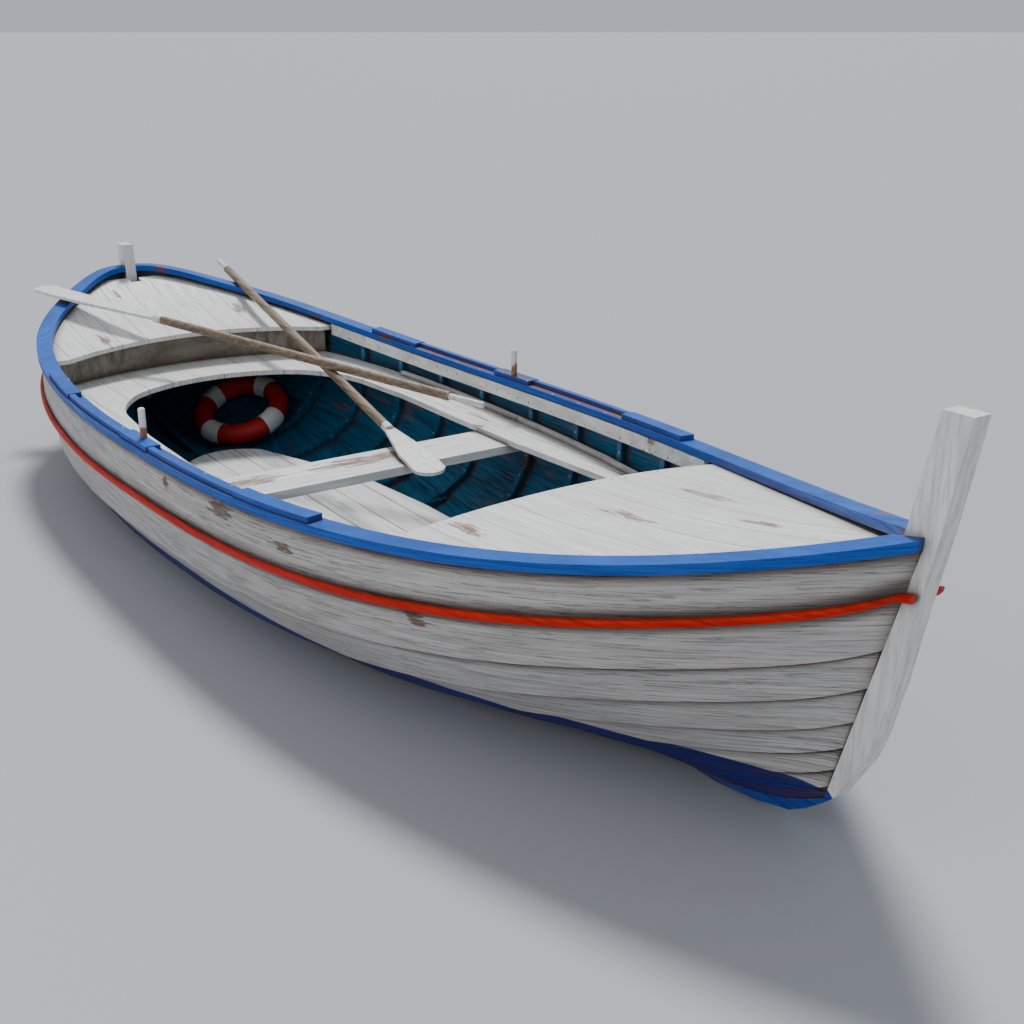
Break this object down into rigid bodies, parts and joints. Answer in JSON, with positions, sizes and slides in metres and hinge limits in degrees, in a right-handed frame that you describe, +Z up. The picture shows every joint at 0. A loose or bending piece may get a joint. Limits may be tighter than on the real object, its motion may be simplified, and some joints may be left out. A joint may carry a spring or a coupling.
{
  "type": "wooden boat",
  "caption": "Open double-ended clinker rowing boat of painted wood with decked ends, benches, thole pins, crossed oars and a life ring; it carries people and gear on water.",
  "frame": {"origin": "amidships on the centreline, on the surface of the water at the depth where the empty boat floats, 120 mm above the keel's underside", "axes": "+X towards the bow, +Y to port, +Z up"},
  "size_m": [4.746, 1.526, 1.173],
  "materials": {
    "hull_paint": "satin",
    "bottom_paint": "satin",
    "white_paint": "satin",
    "rail_paint": "satin",
    "red_paint": "satin",
    "inside_paint": "matte",
    "deck_paint": "matte",
    "bare_wood": "matte",
    "oar_wood": "matte",
    "ring_red": "matte",
    "ring_band": "matte"
  },
  "bodies": {
    "root": {"strake_1": "hull_paint", "strake_2": "hull_paint", "strake_3": "hull_paint", "strake_4": "hull_paint", "strake_5": "hull_paint", "strake_6": "hull_paint", "strake_7": "hull_paint", "strake_8": "hull_paint", "keel": "bottom_paint", "stem": "white_paint", "sternpost": "white_paint", "rail": "rail_paint", "rail_strip": "rail_paint", "rail_pads": "rail_paint", "thole_pin_port": "white_paint", "thole_pin_starboard": "white_paint", "inwale": "white_paint", "rubbing_moulding": "red_paint", "ribs": "inside_paint", "stern_deck": "deck_paint", "stern_riser": "bare_wood", "foredeck": "deck_paint", "stern_bench": "deck_paint", "side_benches": "deck_paint", "bench_batten": "deck_paint", "bench_stringer": "inside_paint", "thwart": "deck_paint", "floorboards": "deck_paint", "floor_timbers": "inside_paint", "oar_upper": "oar_wood", "oar_lower": "oar_wood", "life_ring": "ring_red", "ring_bands": "ring_band", "foredeck_beam": "deck_paint"}
  },
  "joints": []
}
